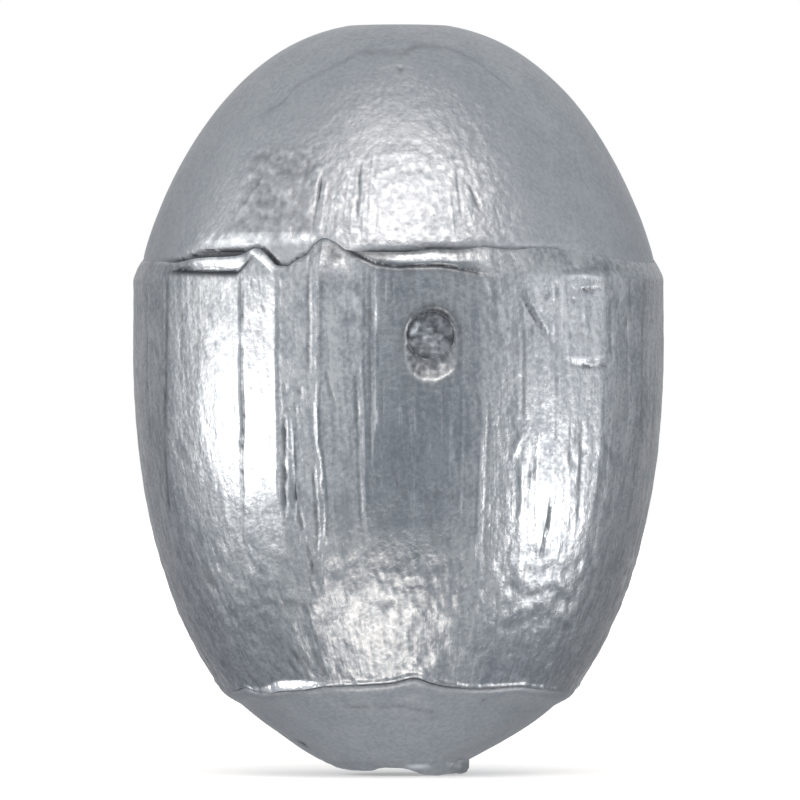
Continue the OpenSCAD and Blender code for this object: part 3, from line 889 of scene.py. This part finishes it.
def sleeve_place(az, share):
    """A point of the sleeve's outside, from its lower lip up to its upper lip."""
    edge_z = upper_edge_z(az)
    z = mix(lower_edge_z(az), edge_z, share)
    under_edge = edge_z - z
    r = barrel_radius(z)
    if z > shoulder_z:
        edge_r = dome_radius(edge_z) + lip_t(az)
        round_in = min(1.0, (z - shoulder_z) / (edge_z - shoulder_z))
        bevel = mix(math.sqrt(1 - round_in * round_in), 1 - round_in ** 1.35, bevel_straight(az))
        roll = 1 - min(1.0, under_edge / lip_roll_h)
        step_r = edge_r + lip_roll * (1 - roll * roll) + step_lean(az) * min(lip_lean_h, under_edge)
        step_r = mix(step_r, r, ease((ledge_z(az) + 0.03 - z) / 0.08))
        r = mix(mix(edge_r, r, bevel), step_r, stepped(az))
    band_z = lower_edge_z(az) + lower_band_h(az)
    if z < band_z:
        down = (band_z - z) / lower_band_h(az)
        r = barrel_radius(band_z) + lower_band_w * (math.sqrt(1 - down * down * 0.96) - 1)
    rise, grime_and_painted_light = marked(sleeve_marks, az, z, r)
    # Painted highlight on the lower lip's band
    grime_and_painted_light -= painted_highlight_band(az) * ease((band_z - z) / 0.05)
    over_ledge = (z - ledge_z(az)) / ledge_width
    cut = ledge_cut(az) * math.exp(-2 * over_ledge ** 2)
    rise -= ledge_depth * cut
    # Painted shade in the ledge's cut and in a band just below it
    grime_and_painted_light += 0.8 * cut + 0.4 * ledge_cut(az) * math.exp(-2 * (over_ledge + 0.9) ** 2)
    # Painted highlight on the upper lip's face
    grime_and_painted_light -= painted_highlight_face(az) * within(z, ledge_z(az) + 0.06, edge_z - 0.04, 0.06, 0.08)
    # Painted shade along the top of the stepped lip, next to the crack
    grime_and_painted_light += 0.6 * stepped(az) * ease((az + 20) / 8) * ease(1.3 - under_edge / 0.16)
    # Painted highlight on the left front, where the lumps of the wall are also kept lower
    top_z = painted_highlight_to(az) + 1.1 * lumps(az, z, r, 0.35, seed=27)
    painted_highlight = within(az, painted_highlight_from(z), -26.8, 1.6, 1) * within(z, -3.1, top_z, 0.7, 1.5)
    grime_and_painted_light = mix(grime_and_painted_light, -0.55, 0.65 * painted_highlight * (1 - max(0.0, min(1.0, 3 * grime_and_painted_light))))
    inside = ease(under_edge / 0.12) * (1 - 0.6 * painted_highlight)
    low = ease((-3.6 - z) / 1.6)
    for height, low_height, size, stretch, seed in wall_layers:
        wall_r = r if stretch == 1 else sleeve_r
        rise += mix(height, low_height, low) * lumps(az, z, wall_r, size, stretch, seed) * inside
    specks = lumps(az, z, r, 0.23, stretch=1.4, seed=23)
    rise += mix(0.005, 0.016, low) * specks * inside
    grime_and_painted_light -= 0.9 * specks * max(0.0, 0.1 + lumps(az, z, r, 1.1, stretch=1.7, seed=25)) * inside
    across = math.radians(az - peg_az) * sleeve_r
    if abs(across) < bowl_w and abs(z - peg_z) < 2 * bowl_w:
        sunk, rough, dark = bowl(across, z - peg_z)
        rise = mix(rise, rough, ease(4 * sunk / bowl_depth)) - sunk
        grime_and_painted_light += dark
    r += rise - plate_sink(az, z)
    if z > nose_seat_z:
        r = max(r, dome_radius(z) + thin_lip)
    return r, z, max(-1.0, min(1.0, grime_and_painted_light))


def lower_lip_place(az, share):
    """A point of the lower lip's edge, from the cone to the outside."""
    r, z, grime_and_painted_light = sleeve_place(az, 0)
    # The lip's underside is painted with shade towards the cone
    return mix(tail_wall_r(az, z) + seat_gap, r, share), z - 0.01 * share, 1 - share


def upper_lip_place(az, share):
    """A point of the upper lip's edge, from the outside into the crack."""
    r, z, grime_and_painted_light = sleeve_place(az, 1)
    inner_r = dome_radius(z) + dome_gap
    # The lip's edge inside the crack is painted with shade
    return mix(r, inner_r, share), z - 0.01 * share, 1.0


def dome_seat_place(az, share):
    """A point of the seat for the dome, from the lip down to its floor."""
    z = mix(upper_edge_z(az) - 0.03, nose_seat_z, share)
    # The seat inside the crack is painted with shade
    return dome_radius(z) + dome_gap, z, 1.0


def cone_seat_place(az, share):
    """A point of the seat for the tail, from its shoulder down to the lip."""
    z = mix(tail_seat_z, lower_edge_z(az), share)
    # The seat under the lower lip is painted with shade
    return tail_wall_r(az, z) + seat_gap, z, 0.8


lip_step = 0.045
peg_step = 0.06
wall_step = 0.118


def row_shares():
    """Shares of the sleeve's height, close together at the lips and the peg."""
    heights = [upper_lip_z]
    while heights[-1] > lower_lip_z:
        z = heights[-1]
        near_lip = z > 3.2 or z < lower_lip_z + 0.5
        near_peg = abs(z - peg_z) < 0.8 * bowl_w
        heights.append(z - (lip_step if near_lip else peg_step if near_peg else wall_step))
    heights[-1] = lower_lip_z
    return [(z - lower_lip_z) / (upper_lip_z - lower_lip_z) for z in heights]


sleeve_rows = [(sleeve_place, share) for share in row_shares()]
sleeve_rows += [(lower_lip_place, 0.6), (lower_lip_place, 0.1)]
sleeve_rows += [(cone_seat_place, share) for share in (0.9, 0.6, 0.3)]
sleeve_rows += plain_rows(
    (tail_r + seat_gap, tail_seat_z + seat_gap, 0),
    (tail_spigot_r + seat_gap, tail_seat_z + seat_gap, 0),
    (tail_spigot_r + seat_gap, spigots_meet_z - seat_gap, 0),
    (nose_spigot_r + seat_gap, spigots_meet_z - seat_gap, 0),
    (nose_spigot_r + seat_gap, nose_seat_z - seat_gap / 2, 0),
)
sleeve_rows += [(dome_seat_place, share) for share in (1, 0.6, 0.3, 0)]
sleeve_rows += [(upper_lip_place, 0.7), (upper_lip_place, 0.35)]
sleeve = finished("swaged_sleeve", turned_shell(sleeve_rows, sleeve_turns))


def on_peg_axis(distance):
    """Turns +Z outwards along the peg's axis, and moves it that far out."""
    turn = Matrix.Rotation(math.radians(peg_az), 4, "Z")
    return turn @ Matrix.Translation((0, -distance, peg_z)) @ Matrix.Rotation(math.pi / 2, 4, "X")


def drill_peg_hole(piece, start):
    """Cuts the peg's hole from a radius outwards."""
    bm = bmesh.new()
    bmesh.ops.create_cone(
        bm, cap_ends=True, segments=96, radius1=peg_hole_r, radius2=peg_hole_r, depth=sleeve_r,
        matrix=on_peg_axis(start + sleeve_r / 2),
    )
    drill = finished("peg_drill", bm)
    cut = piece.modifiers.new("peg hole", "BOOLEAN")
    cut.operation = "DIFFERENCE"
    cut.solver = "EXACT"
    cut.object = drill
    seen = bpy.context.evaluated_depsgraph_get()
    piece.data = bpy.data.meshes.new_from_object(piece.evaluated_get(seen))
    piece.modifiers.clear()
    bpy.data.objects.remove(drill)
    piece.data.set_sharp_from_angle(angle=sharp_drilled_angle)


sharp_drilled_angle = math.radians(38)
peg_gap = 0.008
peg_hole_r = peg_r + peg_gap
peg_l = 4
peg_foot_r = sleeve_r - peg_l
drill_peg_hole(sleeve, tail_spigot_r)
drill_peg_hole(nose_cap, peg_foot_r - peg_gap)
dress(sleeve, "sleeve", lead(
    "swaged lead", (0.322, 0.345, 0.372), (0.196, 0.217, 0.244), Roughness=0.28, Grain=0.008,
    Lines=0.008, Waves=0.01, Pits=0.006,
))


# Tail cap: a blunt cone of cast lead below the lower lip. It was broken off the casting's gate, so
# a torn collar hangs round the mouth of the bore: a round lobe at the left, a square one at the
# right, and a thin edge between them.
cone_end_z = -10.24
collar_h = 0.45
cone_rows = 34
collar_rows = 10
tail_turns = 480

collar_length = loop(
    0.5, (-150, 0.7), (-120, 0.5), (-95, 0.56), (-70, 0.62), (-47, 0.67), (-36, 0.66), (-30, 0.61),
    (-24, 0.5), (-14, 0.45), (4, 0.47), (12, 0.56), (20, 0.7), (28, 0.84), (37, 0.93), (50, 0.95),
    (62, 0.92), (80, 0.85), (100, 0.7), (120, 0.4), (150, 0.3),
)
collar_square = loop(
    0.5, (-120, 0.3), (-60, 0.05), (-30, 0.1), (0, 0.2), (30, 0.25), (55, 0.6), (75, 0.95),
    (100, 0.9), (140, 0.5),
)
collar_spread = loop(
    0, (-130, 0.04), (-100, 0.16), (-70, 0.16), (-40, 0.08), (-20, 0), (40, -0.04), (60, -0.08),
    (110, -0.08), (150, 0),
)
tail_marks = by_sector([
    around([(-22, -8.62), (-4, -8.6), (10, -8.75), (16, -8.82)], 80, -16, 30),
    around([(-16, -8.42), (0, -8.44), (12, -8.6)], 70, 12),
    around([(-6, -8.95), (6, -9), (20, -8.9)], 70, -10, 20),
    dent(-64, -9.75, 300, 160, -80, 100),
    dent(-100, -9.5, 500, 300, -60, 20),
    dent(30, -8.45, 120, 100, -30, 40),
    dent(14, -10.25, 300, 120, 40),
    dent(140, -9, 500, 400, -50, 30),
    around([(100, -8.8), (140, -8.6), (170, -8.8)], 100, -20, 30),
])


def cone_place(az, share):
    """A point of the cone, from its seat down to the collar."""
    z = mix(tail_seat_z, cone_end_z, share)
    r = tail_wall_r(az, z)
    below = lower_edge_z(az) - z
    # The crack sinks the cone and paints shade on it, fading below the lip
    closed = lower_crack(az)
    if below > 0:
        closed *= math.exp(-1.2 * (below / 0.1) ** 2)
    rise, grime_and_painted_light = marked(tail_marks, az, z, r)
    rise += 0.03 * lumps(az, z, r, 1.3, seed=31) + 0.014 * lumps(az, z, r, 0.45, seed=33)
    r += rise * ease(below / 0.25) + collar_spread(az) * ease(lower_lip_z - 1.2 - z)
    return r - 0.045 * closed, z, min(1.0, grime_and_painted_light + 0.85 * closed)


def collar_place(az, share):
    """A point of the torn collar, from the cone to the mouth of the bore."""
    drop = collar_h * collar_length(az) * (1 + 0.06 * lumps(az, 0, collar_r, 0.5, seed=37))
    square = collar_square(az)
    fall = mix(ease(share * 1.15), min(1.0, share * 3.2), square)
    inward = mix(share ** 1.1, max(0.0, share - 0.22) / 0.78, square)
    r = mix(cone_place(az, 1)[0], mouth_r + 0.04, inward)
    rough = 0.03 * lumps(az, share, r, 0.22, seed=39) * math.sin(math.pi * min(1.0, share))
    z = cone_end_z - drop * fall + rough
    # A painted glint low on the collar's front, and painted shade on the right lobe's wall
    painted_glint = math.exp(-((az - 17) / 10) ** 2 - ((z + 10.39) / 0.07) ** 2)
    return r, z, 0.12 + 0.3 * within(az, 52, 120, 14, 20) - painted_glint


tail_rows = plain_rows((tail_spigot_r, tail_seat_z, 0))
tail_rows += [(cone_place, index / cone_rows) for index in range(cone_rows + 1)]
tail_rows += [(collar_place, (index + 1) / collar_rows) for index in range(collar_rows)]
tail_rows += plain_rows(
    (mouth_r, cone_end_z, 0.5),
    (mouth_r, tube_foot_z, 0.6),
    (tube_hole_r, tube_foot_z + flare_h, 0),
    (tube_hole_r, spigots_meet_z - seat_gap, 0),
    (tail_spigot_r - spigot_chamfer, spigots_meet_z - seat_gap, 0),
    (tail_spigot_r, spigots_meet_z - spigot_chamfer, 0),
)
tail_cap = finished("tail_casting", turned_shell(tail_rows, tail_turns))
dress(tail_cap, "tail_cap", lead(
    "cast lead tail", *cast_tones, Roughness=0.46, Grain=0.014, Waves=0.02, Pits=0.004,
))


# Line tube: a liner of black plastic that keeps the fishing line off the lead. Its ends are
# flared with heat, which holds it in the flared mouths of the bore.
bore_r = 0.9
tube_r = 1.2
flare_r = 1.32
tube_turns = 96
# One end of its wall, from the bore out: radius, and distance from the tube's end
tube_end = [
    (bore_r, flare_h), (tube_r - 0.08, 0.03), (tube_r, 0), (flare_r - 0.02, 0), (flare_r, 0.03),
    (tube_r, flare_h),
]
tube_wall = [(r, tube_foot_z + inset, 0) for r, inset in tube_end]
tube_wall += [(r, tube_top_z - inset, 0) for r, inset in reversed(tube_end)]
line_tube = finished("bore_liner", turned_shell(plain_rows(*tube_wall), tube_turns))


def tube_plastic():
    """Matt black plastic with faint scuffs."""
    material, tree, shader = new_material("black tube plastic")
    place = add_node(tree, "TexCoord").outputs["Object"]
    scuffs = add_node(tree, "TexNoise", Vector=place, Scale=900, Detail=4).outputs["Fac"]
    tone = blend(tree, scuffs, (0.012, 0.012, 0.013, 1), (0.05, 0.052, 0.055, 1))
    put(tree, shader, Base_Color=tone, Roughness=reckon(tree, "MULTIPLY_ADD", scuffs, 0.3, 0.35))
    return material


dress(line_tube, "line_tube", tube_plastic())


# Locking peg: a short lead pin driven in from the side, through the sleeve into the nose cap's
# spigot. The ball punch that set it dished its face with the bowl round it, which is pitted and
# painted with shade.
peg_rings = 22
peg_turns = 96
peg_taper_h = 0.2
peg_tip_r = peg_r - 0.15
bm = bmesh.new()
outline = [(peg_r * ring / peg_rings, 0) for ring in range(peg_rings + 1)]
outline += [(peg_r, peg_taper_h - peg_l), (peg_tip_r, -peg_l), (0, -peg_l)]
ring = [bm.verts.new((r, 0, z)) for r, z in outline]
edges = [bm.edges.new(pair) for pair in zip(ring, ring[1:])]
bmesh.ops.spin(
    bm, geom=ring + edges, axis=(0, 0, 1), cent=(0, 0, 0),
    steps=peg_turns, angle=math.tau, use_merge=True,
)
bmesh.ops.remove_doubles(bm, verts=bm.verts, dist=1e-5)
grime_and_light_of = bm.verts.layers.float.new("grime_and_painted_light")
for vert in bm.verts:
    if vert.co.z > -0.1:
        turn = math.asin(vert.co.x / sleeve_r)
        sunk, rough, dark = bowl(vert.co.x, vert.co.y)
        wall_r = sleeve_r - plate_sink(peg_az + math.degrees(turn), peg_z + vert.co.y)
        vert.co.z = (wall_r + rough - sunk) * math.cos(turn) - sleeve_r
        vert[grime_and_light_of] = min(1.0, dark)
bmesh.ops.recalc_face_normals(bm, faces=bm.faces)
bm.transform(on_peg_axis(sleeve_r))
locking_peg = finished("driven_peg", bm)
dress(locking_peg, "locking_peg", lead(
    "punched lead", (0.33, 0.365, 0.405), (0.215, 0.243, 0.28), Roughness=0.42, Grain=0.014,
    Waves=0.02, Pits=0.01,
))


# Floor: a pale table under the tail. It takes the sinker's shadow, looks white to the camera and
# is clear from below.
floor_r = 600
bm = bmesh.new()
bmesh.ops.create_circle(bm, cap_ends=True, segments=96, radius=floor_r)
bmesh.ops.translate(bm, vec=(0, 0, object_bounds()[0].z / MM), verts=bm.verts)
floor = finished("pale_floor", bm)
floor.visible_glossy = False
floor.visible_shadow = False
floor_white = (0.66, 0.66, 0.66, 1)
floor_glow = 0.36


def floor_paint():
    """White paint that glows for the camera alone, and is clear from below."""
    material, tree, shader = new_material("pale floor paint")
    tree.nodes.clear()
    seen = add_node(tree, "LightPath").outputs["Is Camera Ray"]
    below = add_node(tree, "NewGeometry").outputs["Backfacing"]
    paint = add_node(tree, "BsdfDiffuse", Color=floor_white)
    glow = add_node(
        tree, "Emission", Color=(1, 1, 1, 1), Strength=reckon(tree, "MULTIPLY", seen, floor_glow),
    )
    lit = add_node(tree, "AddShader", paint, glow)
    either = add_node(tree, "MixShader", below, lit, add_node(tree, "BsdfTransparent"))
    add_node(tree, "OutputMaterial", Surface=either)
    return material


floor.data.materials.append(floor_paint())


# Studio: a white room, which the camera sees plain. The metal sees the same white with soft boxes
# and darker screens in it.
# Each box: azimuth from and to, elevation from and to, softness, added light (red, green, blue).
# A box that takes light away is a dark screen.
soft_boxes = [
    (-95, -57, -13, -2, 5, 4.14, 3.84, 3.54),
    (-82, -56, -20, -10, 5, 2.14, 2.0, 1.85),
    (-104, -57, -4, 34, 7, 1.07, 0.99, 0.9),
    (-98, -84, 37, 46, 5, 1.57, 1.46, 1.34),
    (56, 90, -27, -11, 5, 5.57, 5.17, 4.77),
    (50, 100, -10, 20, 9, 0.6, 0.57, 0.55),
    (-58, 58, 28, 100, 14, 0.89, 0.8, 0.72),
    (-27, 36, 30, 53, 6, 3.57, 3.16, 2.84),
    (-46, 22, -64, -38, 7, 2.71, 2.37, 2.06),
    (-52, -14, -14, 25, 8, 0.43, 0.41, 0.39),
    (-12, 24, -30, 0, 11, -0.51, -0.46, -0.43),
    (-130, -70, -66, -32, 10, -0.36, -0.34, -0.33),
    (66, 130, -66, -34, 10, -0.38, -0.36, -0.34),
    (112, 210, -38, -2, 12, -0.44, -0.44, -0.43),
    (-210, -112, -38, -2, 12, -0.41, -0.41, -0.39),
    (120, 210, 22, 62, 12, 0.21, 0.2, 0.19),
    (-210, -120, 22, 62, 12, 0.21, 0.2, 0.19),
    (118, 210, -2, 22, 10, -0.14, -0.14, -0.13),
    (-210, -118, -2, 22, 10, -0.14, -0.14, -0.13),
]
room_light = (1, 1, 1)


def soft_box_group():
    """Mask of a soft-edged box in the sky."""
    group, given, put_out = new_group(
        "soft box", ("Azimuth", "Elevation", "Left", "Right", "Bottom", "Top", "Softness"),
        ("Mask",),
    )
    mask = 1
    for high, low in (
        ("Azimuth", "Left"), ("Right", "Azimuth"), ("Elevation", "Bottom"), ("Top", "Elevation"),
    ):
        past = reckon(group, "SUBTRACT", given[high], given[low])
        past = reckon(group, "DIVIDE", past, given["Softness"])
        smooth = add_node(group, "MapRange", past, -1, interpolation_type="SMOOTHSTEP")
        mask = reckon(group, "MULTIPLY", smooth, mask)
    put(group, put_out, Mask=mask)
    return group


def studio_world():
    """The white room: plain for the camera, with its soft boxes and screens for the rest."""
    world = bpy.data.worlds.new("studio")
    world.use_nodes = True
    tree = world.node_tree
    tree.nodes.clear()
    way = add_node(tree, "TexCoord").outputs["Generated"]
    x, y, z = add_node(tree, "SeparateXYZ", way).outputs
    azimuth = reckon(tree, "ARCTAN2", x, reckon(tree, "MULTIPLY", y, -1))
    azimuth = reckon(tree, "DEGREES", azimuth)
    elevation = reckon(tree, "DEGREES", reckon(tree, "ARCSINE", z))
    soft_box = soft_box_group()
    light = room_light
    for *shape, red, green, blue in soft_boxes:
        box = add_node(tree, "Group", azimuth, elevation, *shape, node_tree=soft_box)
        light = add_node(
            tree, "VectorMath", box, (red, green, blue), light, operation="MULTIPLY_ADD",
        )
    room = add_node(tree, "Background", light)
    white = add_node(tree, "Background", (1, 1, 1, 1))
    path = add_node(tree, "LightPath").outputs
    straight = reckon(tree, "MAXIMUM", path["Is Camera Ray"], path["Is Transmission Ray"])
    add_node(tree, "OutputWorld", add_node(tree, "MixShader", straight, room, white))
    return world


bpy.context.scene.world = studio_world()
bpy.context.scene.view_settings.view_transform = "Standard"

# Camera: level with the sinker's middle, straight at the side that carries the peg.
camera_distance = 300
view_height = 22.75
view_middle_x = 0.043
view_middle_z = -0.028
sensor_w = 36
camera = placed("camera", bpy.data.cameras.new("camera"))
camera.data.sensor_width = sensor_w
camera.data.lens = sensor_w * camera_distance / view_height
camera.data.clip_start = 0.01
camera.data.clip_end = 10
camera.location = (view_middle_x * MM, -camera_distance * MM, view_middle_z * MM)
camera.rotation_euler = (math.pi / 2, 0, 0)
bpy.context.scene.camera = camera
